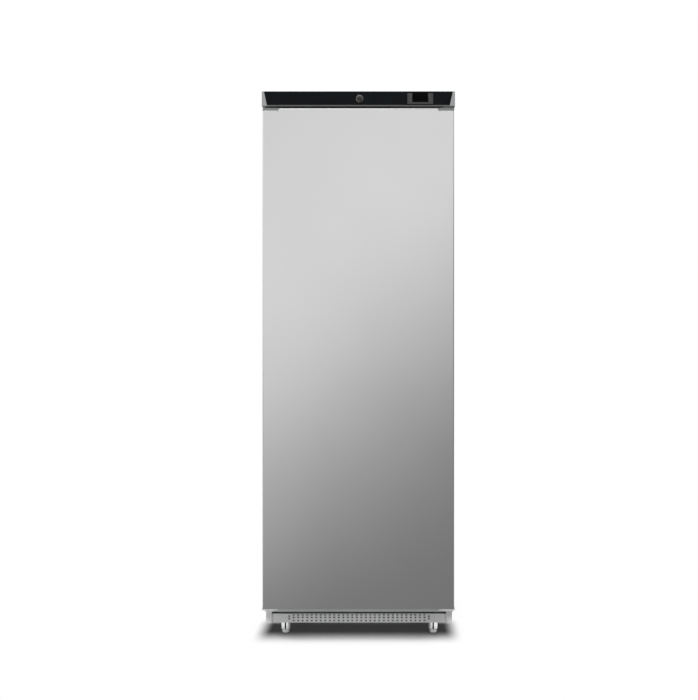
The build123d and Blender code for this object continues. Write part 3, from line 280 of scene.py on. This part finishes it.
# Each material slot of the record, and then the single nodes that look unlike their slot.
finishes = {
    "stainless_steel": stainless, "bright_steel": chrome, "zinc_sheet": galvanised,
    "grey_plastic": abs_grey, "black_gloss": acrylic_black, "dark_grey_plastic": blend_dark,
    "display_black": window_black, "white_liner": liner_white, "frame_plastic": pvc_pale,
    "foam": foam_straw, "gasket": seal_grey, "rubber_black": rubber,
    "black_enamel": enamel_black, "copper": copper, "evaporator_enamel": powder_white,
    "nylon": nylon, "zinc_hardware": zinc_plate,
}
special = {
    "bottom_corner_plate": stainless_tumbled_painted_highlight, "bottom_hinge_bracket": stainless_tumbled_painted_highlight,
    "corner_posts": stainless_satin, "plinth_grille": stainless_blasted,
    "base_cross_front": shade_painted_dark, "top_hinge_bracket": shade_painted_dark,
    "lock_body": nickel_rim_painted_highlight, "lock_barrel": nickel_dark, "door_top_cap": abs_painted_shade,
    **{f"key_{n}": blend_keys for n in range(1, 5)},
}
slot_of = {part["node"]: part["material_slot"] for part in frame["record"]["subparts"]}


def finish_of(node):
    """The finish of a node, and of the piece that takes its place."""
    return special.get(node, finishes[slot_of[node]])


for name, cad in frame["nodes"].items():
    cad.data.materials.clear()
    cad.data.materials.append(finish_of(name))


# ---------------------------------------------------------------- pieces
def dress(piece, node):
    """Gives a new piece the node's finish, if it has none yet, and the node's body."""
    if not piece.data.materials:
        piece.data.materials.append(finish_of(node))
    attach(piece, frame["nodes"][node]["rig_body"])


def smooth(piece, degrees):
    """Smooth shading, except over edges sharper than this."""
    for face in piece.data.polygons:
        face.use_smooth = True
    piece.data.set_sharp_from_angle(angle=math.radians(degrees))


WELD_GAP = 0.004 * MM       # corners closer than this are one
FLAT_ANGLE = 0.4            # degrees between faces that become one
ROUNDED_ANGLE = 32          # degrees, from which an edge is rounded


def eased(node, radius_mm):
    """The node's own shape with its edges rounded, as a folded or moulded edge is."""
    mesh = frame["nodes"][node].data.copy()
    mesh.materials.clear()
    piece = bpy.data.objects.new(node + "_eased", mesh)
    scene.collection.objects.link(piece)
    work = bmesh.new()
    work.from_mesh(mesh)
    bmesh.ops.remove_doubles(work, verts=work.verts, dist=WELD_GAP)
    bmesh.ops.dissolve_limit(work, angle_limit=math.radians(FLAT_ANGLE), verts=work.verts,
                             edges=work.edges, delimit={"NORMAL"})
    work.to_mesh(mesh)
    work.free()
    if mesh.has_custom_normals:
        mesh.normals_split_custom_set([(0, 0, 0)] * len(mesh.loops))
    rounding = piece.modifiers.new("rounding", "BEVEL")
    rounding.width = radius_mm * MM
    rounding.segments = 3
    rounding.limit_method = "ANGLE"
    rounding.angle_limit = math.radians(ROUNDED_ANGLE)
    rounding.use_clamp_overlap = True
    rounding.miter_outer = "MITER_ARC"
    bpy.context.view_layer.update()
    rounded = bpy.data.meshes.new_from_object(
        piece.evaluated_get(bpy.context.evaluated_depsgraph_get()))
    piece.modifiers.clear()
    piece.data = rounded
    smooth(piece, 40)
    dress(piece, node)
    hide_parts(node)
    return piece


# The controller's bezel isn't among these, because rounding its edges broke its faces.
for node, radius in {
    "control_fascia": 0.35, "lock_barrel": 0.35, "lock_cam": 0.4,
    "door_top_cap": 0.5, "door_bottom_cap": 0.9, "door_grip": 0.7,
    "corner_posts": 0.5,
    "bottom_corner_plate": 0.6, "bottom_hinge_bracket": 0.6, "top_hinge_bracket": 0.6,
    **{f"foot_{n}": 1.2 for n in range(1, 5)},
    **{f"key_{n}": 0.35 for n in range(1, 5)},
}.items():
    eased(node, radius)

# Control housing: the strip of its front under the fascia is a darker grey, painted shade under
# the fascia's edge, up to a little short of the fascia's ends.
housing = eased("control_housing", 0.5)
housing.data.materials.append(abs_bar_painted_shade)
fascia_low, fascia_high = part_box("control_fascia")
strip_end_gap = 9.5 * MM
strip_half = fascia_high.x - strip_end_gap
work = bmesh.new()
work.from_mesh(housing.data)
for place, across in (((0, 0, fascia_low.z), (0, 0, 1)), ((-strip_half, 0, 0), (1, 0, 0)),
                      ((strip_half, 0, 0), (1, 0, 0))):
    bmesh.ops.bisect_plane(work, geom=work.verts[:] + work.edges[:] + work.faces[:],
                           plane_co=place, plane_no=across, dist=0.001 * MM)
for face in work.faces:
    middle = face.calc_center_median()
    if middle.z < fascia_low.z and abs(middle.x) < strip_half and middle.y < fascia_high.y:
        face.material_index = 1
work.to_mesh(housing.data)
work.free()


def skinned(name, rings, degrees):
    """A piece skinned over rings of points. Each point joins the next one in its ring and the
    same one in the next ring, and both ways close on themselves."""
    mesh = bpy.data.meshes.new(name)
    work = bmesh.new()
    rings = [[work.verts.new(point) for point in ring] for ring in rings]
    for index, ring in enumerate(rings):
        after = rings[(index + 1) % len(rings)]
        for k in range(len(ring)):
            m = (k + 1) % len(ring)
            work.faces.new((ring[k], ring[m], after[m], after[k]))
    bmesh.ops.recalc_face_normals(work, faces=work.faces)
    work.to_mesh(mesh)
    work.free()
    piece = bpy.data.objects.new(name, mesh)
    scene.collection.objects.link(piece)
    smooth(piece, degrees)
    return piece


def turned(name, profile, x, z):
    """A piece turned about a line from front to back: profile is (radius in mm, y) points."""
    steps = 64
    turns = [2 * math.pi * step / steps for step in range(steps)]
    return skinned(name, [[(x + r * MM * math.cos(turn), y, z + r * MM * math.sin(turn))
                           for r, y in profile] for turn in turns], 40)


# Lock: a dished rose with a rolled rim, screwed down on its body. Its face is dull, and the rim
# carries a paler copy of the plating: a painted highlight. Radii are in mm.
rose_low, rose_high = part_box("lock_body")
rose_x, rose_z = (rose_low.x + rose_high.x) / 2, (rose_low.z + rose_high.z) / 2
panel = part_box("control_fascia")[0].y
barrel_low, barrel_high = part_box("lock_barrel")
barrel_play, neck_radius, dull_width = 0.08, 9.5, 3.5
bore = (barrel_high.x - barrel_low.x) / 2 / MM + barrel_play
rose_radius = (rose_high.x - rose_low.x) / 2 / MM
# The rose's face, from the bore over the dish and the bead to the rim: radius, and mm behind
# its foremost plane.
rose_face = [(bore, 0.2), (bore + 0.3, 0.05), (bore + 1.0, 0.15), (bore + 2.2, 0.55),
             (bore + 3.0, 0.95), (bore + 3.3, 1.1), (bore + 3.6, 0.9), (bore + 3.9, 0.35),
             (bore + 4.3, 0.04), (bore + 4.7, 0.1), (rose_radius - 0.25, 0.6),
             (rose_radius, 1.3)]
rose = turned("lock_rose", [
    (bore, rose_high.y), *[(radius, rose_low.y + behind * MM) for radius, behind in rose_face],
    (rose_radius, panel), (neck_radius, panel), (neck_radius, rose_high.y)], rose_x, rose_z)
rose.data.materials.append(nickel_dark)
rose.data.materials.append(nickel_rim_painted_highlight)
for face in rose.data.polygons:
    outward = face.center - Vector((rose_x, face.center.y, rose_z))
    face.material_index = int(outward.length > (bore + dull_width) * MM)
dress(rose, "lock_body")
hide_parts("lock_body")


def ring_sweep(name, profile, half_x, low_z, high_z):
    """A closed profile of (outward, y) points, carried round an upright rectangle with mitred
    corners: outward is measured from the rectangle's line."""
    mid_z, half_z = (low_z + high_z) / 2, (high_z - low_z) / 2
    corners = ((-1, -1), (1, -1), (1, 1), (-1, 1))
    return skinned(name, [[(side * (half_x + out), y, mid_z + end * (half_z + out))
                           for out, y in profile] for side, end in corners], 50)


# Door seal: a magnet pillow on the cabinet side, folded bellows and a foot on the door.
seal_low, seal_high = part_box("door_gasket")
seal_width = 22 * MM
seal_line_x = seal_high.x - seal_width / 2
seal_half = seal_width / 2
pillow_height, pillow_inset, pillow_step = 2.6, 1.2, 20     # mm, mm and degrees
# The bellows' corners, from the pillow to the foot: mm in from the side and from the back.
folds = ((0.0, 3.4), (2.0, 4.3), (0.6, 5.4), (3.2, 6.2))
foot_inset = 3.2
pillow = [(math.cos(turn) * (seal_half - pillow_inset * MM),
           seal_high.y - pillow_height * MM + math.sin(turn) * pillow_height * MM)
          for turn in (math.radians(angle) for angle in range(0, 181, pillow_step))]
bellows = [(-seal_half + inset * MM, seal_high.y - behind * MM) for inset, behind in folds]
bellows.append((-seal_half + foot_inset * MM, seal_low.y))
seal_profile = pillow + bellows + [(-x, y) for x, y in reversed(bellows)]
seal = ring_sweep("door_seal_bellows", seal_profile, seal_line_x,
                  seal_low.z + seal_half, seal_high.z - seal_half)
dress(seal, "door_gasket")
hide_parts("door_gasket")

# Hem of the door skin: its upper edge is rolled over, round the corner pieces too.
skin_low, skin_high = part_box("door_skin")
corner_width, corner_slant, corner_drop = 53 * MM, 5 * MM, 7 * MM
hem_radius, hem_proud, hem_end_gap = 1.3 * MM, 0.5 * MM, 7 * MM
hem_y = skin_low.y + hem_radius - hem_proud
hem_points = [(-skin_high.x + hem_end_gap, skin_high.z - corner_drop),
              (-skin_high.x + corner_width - corner_slant, skin_high.z - corner_drop),
              (-skin_high.x + corner_width, skin_high.z - hem_radius)]
hem_points += [(-x, z) for x, z in reversed(hem_points)]
curve = bpy.data.curves.new("door_skin_hem", "CURVE")
curve.dimensions = "3D"
curve.bevel_depth = hem_radius
curve.bevel_resolution = 3
curve.use_fill_caps = True
line = curve.splines.new("POLY")
line.points.add(len(hem_points) - 1)
for point, (x, z) in zip(line.points, hem_points):
    point.co = (x, hem_y, z - hem_radius, 1)
hem = bpy.data.objects.new("door_skin_hem", curve)
scene.collection.objects.link(hem)
curve.materials.append(stainless)
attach(hem, "door")

# ---------------------------------------------------------------- camera
PICTURE_WIDTH = 698         # px
SENSOR_WIDTH = 36           # mm
focal_pixels = 967
eye = Vector((0.100, -3.298, 0.9075))
door_plane = skin_low.y
eye_distance = door_plane - eye.y
mirrored_eye_y = eye_distance + door_plane      # the eye's image in the door
middle_pixel = 358.35       # column that the door's middle has in the picture
camera_data = bpy.data.cameras.new("camera")
camera_data.sensor_fit = "HORIZONTAL"
camera_data.sensor_width = SENSOR_WIDTH
camera_data.lens = focal_pixels * SENSOR_WIDTH / PICTURE_WIDTH
camera_data.shift_x = (PICTURE_WIDTH / 2 - eye.x * focal_pixels / eye_distance
                       - middle_pixel) / PICTURE_WIDTH
camera = bpy.data.objects.new("camera", camera_data)
camera.location = eye
camera.rotation_euler = (math.radians(90), 0, 0)
scene.collection.objects.link(camera)
scene.camera = camera


# ---------------------------------------------------------------- studio
def stage_sheet(name, corners, faces, material):
    """A flat or bent sheet of the studio."""
    mesh = bpy.data.meshes.new(name)
    mesh.from_pydata(corners, [], faces)
    mesh.materials.append(material)
    sheet = bpy.data.objects.new(name, mesh)
    scene.collection.objects.link(sheet)
    return sheet


def stage_material(name):
    """An empty material for the studio, and its node tree."""
    made = bpy.data.materials.new(name)
    made.use_nodes = True
    made.node_tree.nodes.clear()
    return made, made.node_tree


def seen_directly(tree):
    """1 for what the eye, a reflection or a clear piece sees, 0 for light on the object."""
    path = add(tree, "LightPath")
    seen = add(tree, "Math", operation="MAXIMUM",
               links={0: path.outputs["Is Camera Ray"], 1: path.outputs["Is Glossy Ray"]})
    return add(tree, "Math", operation="MAXIMUM", links={
        0: seen.outputs[0], 1: path.outputs["Is Transmission Ray"]}).outputs[0]


# Floor: white to the eye and in reflections, dark close to and under the object: its shadow.
# The levels are (how open the place is, from 0 to 1, and how light the paper looks there).
floor_paper, tree = stage_material("matt_white_paper")
shadow_reach = 0.15
shadow_levels = [(0.0, 0.02), (0.205, 0.036), (0.225, 0.048), (0.26, 0.08), (0.31, 0.15),
                 (0.36, 0.28), (0.41, 0.50), (0.48, 0.72), (0.57, 0.88), (0.66, 0.98),
                 (0.78, 1.0)]
near = add(tree, "AmbientOcclusion", {"Distance": shadow_reach}, samples=16)
shade = add(tree, "ValToRGB", links={"Fac": near.outputs["AO"]})
set_stops(shade, [(openness, grey(level)) for openness, level in shadow_levels])

# A painted soft shadow, standing for the softboxes' own, before and beside the front of the
# base, with its middle a little to the left. On each side it goes from full to gone between two
# places.
base_low, base_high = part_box("side_panels")
soft_depth, soft_middle_x = 0.96, -0.0055
side_full, side_gone = base_high.x - 0.0195, base_high.x + 0.04
front_full, front_gone = base_low.y + 0.0625, base_low.y - 0.0875
rear_full, rear_gone = base_low.y + 0.13, base_low.y + 0.22
where = add(tree, "SeparateXYZ", links={0: add(tree, "NewGeometry").outputs["Position"]})
aside = add(tree, "Math", {1: -soft_middle_x}, {0: where.outputs["X"]})
aside = add(tree, "Math", links={0: aside.outputs[0]}, operation="ABSOLUTE").outputs[0]
dark = add(tree, "Value").outputs[0]
dark.default_value = soft_depth
for place, full, gone in ((aside, side_full, side_gone),
                          (where.outputs["Y"], front_full, front_gone),
                          (where.outputs["Y"], rear_full, rear_gone)):
    fade = add(tree, "MapRange", {"From Min": gone, "From Max": full}, {"Value": place},
               interpolation_type="SMOOTHSTEP")
    dark = add(tree, "Math", links={0: dark, 1: fade.outputs[0]},
               operation="MULTIPLY").outputs[0]
soft = add(tree, "Math", {0: 1.0}, {1: dark}, operation="SUBTRACT")
shade = add(tree, "Mix", {"Factor": 1.0}, {6: shade.outputs["Color"], 7: soft.outputs[0]},
            data_type="RGBA", blend_type="DARKEN")

# Mirrored in the legs the shadow is thinner than to the eye, which keeps the chrome bright.
mirrored_power = 0.4
direct = add(tree, "LightPath").outputs["Is Camera Ray"]
mirrored = add(tree, "Math", {1: mirrored_power}, {0: shade.outputs[2]}, operation="POWER")
shade = add(tree, "Mix", links={"Factor": direct, 6: mirrored.outputs[0], 7: shade.outputs[2]},
            data_type="RGBA")
shown = add(tree, "Emission", {"Strength": 1.0}, {"Color": shade.outputs[2]})
paper = add(tree, "BsdfDiffuse", {"Color": linear("#f2f2f2")})
mix = add(tree, "MixShader", links={0: seen_directly(tree), 1: paper.outputs[0],
                                    2: shown.outputs[0]})
add(tree, "OutputMaterial", links={"Surface": mix.outputs[0]})
floor_half = 30.0
stage_sheet("floor", [(-floor_half, -floor_half, 0), (floor_half, -floor_half, 0),
                      (floor_half, floor_half, 0), (-floor_half, floor_half, 0)],
            [(0, 1, 2, 3)], floor_paper)


def only_mirrored(sheet):
    """Leaves a sheet of the studio to reflections alone."""
    sheet.visible_camera = sheet.visible_diffuse = False
    sheet.visible_transmission = sheet.visible_shadow = False


CARD_NEAR, CARD_FAR = 0.42, 3.7     # from the middle of the object to the card's two ends
CARD_LIFT, CARD_TOP = 0.002, 3.0    # height of its lying part and of its upper edge
CARD_LIGHT = 1.2                    # brightest light that its levels can have
SLOPE_LIMIT = 0.5                   # steepest slope that its levels can have


def graduated_card(name, across, outward, tilt, levels):
    """A card that lies on the floor before one face of the object and then stands up: only its
    reflection is seen. Its light goes by the slope at which the eye sees it mirrored: levels
    are (slope, light) pairs, and tilt is how much the lines of equal light rise along across.
    across and outward are the card's directions along the face and away from it."""
    cloth, tree = stage_material(name)
    where = add(tree, "NewGeometry").outputs["Position"]
    along = add(tree, "VectorMath", {1: across}, {0: where}, operation="DOT_PRODUCT")
    away = add(tree, "VectorMath", {1: outward}, {0: where}, operation="DOT_PRODUCT")
    up = add(tree, "VectorMath", {1: (0, 0, 1)}, {0: where}, operation="DOT_PRODUCT")
    rise = add(tree, "Math", {1: -tilt, 2: -eye.z + tilt * eye.x}, {0: along.outputs["Value"]},
               operation="MULTIPLY_ADD")
    rise = add(tree, "Math", links={0: rise.outputs[0], 1: up.outputs["Value"]})
    depth = add(tree, "Math", {1: mirrored_eye_y}, {0: away.outputs["Value"]})
    slope = add(tree, "Math", links={0: rise.outputs[0], 1: depth.outputs[0]},
                operation="DIVIDE")
    spread = add(tree, "MapRange", {"From Min": -SLOPE_LIMIT, "From Max": SLOPE_LIMIT},
                 {"Value": slope.outputs[0]})
    ramp = add(tree, "ValToRGB", links={"Fac": spread.outputs[0]})
    set_stops(ramp, [(place + SLOPE_LIMIT, grey(light / CARD_LIGHT))
                     for place, light in levels])
    glow = add(tree, "Emission", {"Strength": CARD_LIGHT}, {"Color": ramp.outputs["Color"]})
    add(tree, "OutputMaterial", links={"Surface": glow.outputs[0]})
    across, outward = Vector(across), Vector(outward)
    corners = [across * side * reach + outward * reach + Vector((0, 0, height))
               for reach, height in ((CARD_NEAR, CARD_LIFT), (CARD_FAR, CARD_LIFT),
                                     (CARD_FAR, CARD_TOP))
               for side in (-1, 1)]
    only_mirrored(stage_sheet(name, corners, [(0, 1, 3, 2), (2, 3, 5, 4)], cloth))


# Before the door: pale above, dark towards the lower right, as the room was that it mirrors.
graduated_card("card_front", (1, 0, 0), (0, -1, 0), 0.68, [
    (-0.30, 0.255), (-0.25, 0.260), (-0.207, 0.285), (-0.165, 0.340), (-0.104, 0.480),
    (-0.0415, 0.645), (0.02, 0.85), (0.062, 0.99), (0.103, 1.08), (0.145, 1.09),
    (0.24, 1.075), (0.265, 1.03), (0.30, 0.975)])
# On the other sides: greyer, so that the door's bent edges draw a fine line.
for name, along, outward in (("card_left", (0, 1, 0), (-1, 0, 0)),
                             ("card_right", (0, 1, 0), (1, 0, 0)),
                             ("card_back", (1, 0, 0), (0, 1, 0))):
    graduated_card(name, along, outward, 0.0, [
        (-0.3, 0.38), (-0.05, 0.36), (0.05, 0.44), (0.155, 0.56), (0.25, 0.76)])

# Dark strips before the front legs: each draws one upright line down its chrome. They widen
# away from the foot: the ends are (distance before it, half the width).
strip_shift, strip_lift = 0.0025, 0.003
strip_ends = ((0.03, 0.015), (0.17, 0.056))
strip_cloth, tree = stage_material("card_dark_strip")
glow = add(tree, "Emission", {"Color": linear("#101010")})
add(tree, "OutputMaterial", links={"Surface": glow.outputs[0]})
for foot in ("foot_1", "foot_2"):
    low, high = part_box(foot)
    strip_x = (low.x + high.x) / 2 - strip_shift
    corners = [(strip_x + side * half_width, low.y - away, strip_lift)
               for away, half_width in strip_ends for side in (-1, 1)]
    only_mirrored(stage_sheet(f"card_strip_{foot}", corners, [(0, 1, 3, 2)], strip_cloth))

# Sky: white to the eye and in reflections, a little lower as light on the object.
sky_light = 0.72
world = bpy.data.worlds.new("studio")
scene.world = world
world.use_nodes = True
tree = world.node_tree
tree.nodes.clear()
strength = add(tree, "MapRange", {"To Min": sky_light, "To Max": 1.0},
               {"Value": seen_directly(tree)})
sky = add(tree, "Background", {"Color": linear("#ffffff")}, {"Strength": strength.outputs[0]})
add(tree, "OutputWorld", links={"Surface": sky.outputs[0]})


def softbox(name, place, target, width, height, watts):
    """A rectangular lamp that faces its target."""
    lamp = bpy.data.lights.new(name, "AREA")
    lamp.shape = "RECTANGLE"
    lamp.size, lamp.size_y = width, height
    lamp.energy = watts
    made = bpy.data.objects.new(name, lamp)
    made.location = place
    made.rotation_euler = (Vector(target) - Vector(place)).to_track_quat("-Z", "Y").to_euler()
    scene.collection.objects.link(made)


softbox("softbox_above", place=(-0.3, -1.3, 3.6), target=(0, -0.2, 0.9),
        width=2.2, height=1.2, watts=32)
softbox("softbox_left", place=(-3.0, -1.6, 1.8), target=(0, 0, 0.9),
        width=1.4, height=2.2, watts=12)

scene.view_settings.view_transform = "Standard"
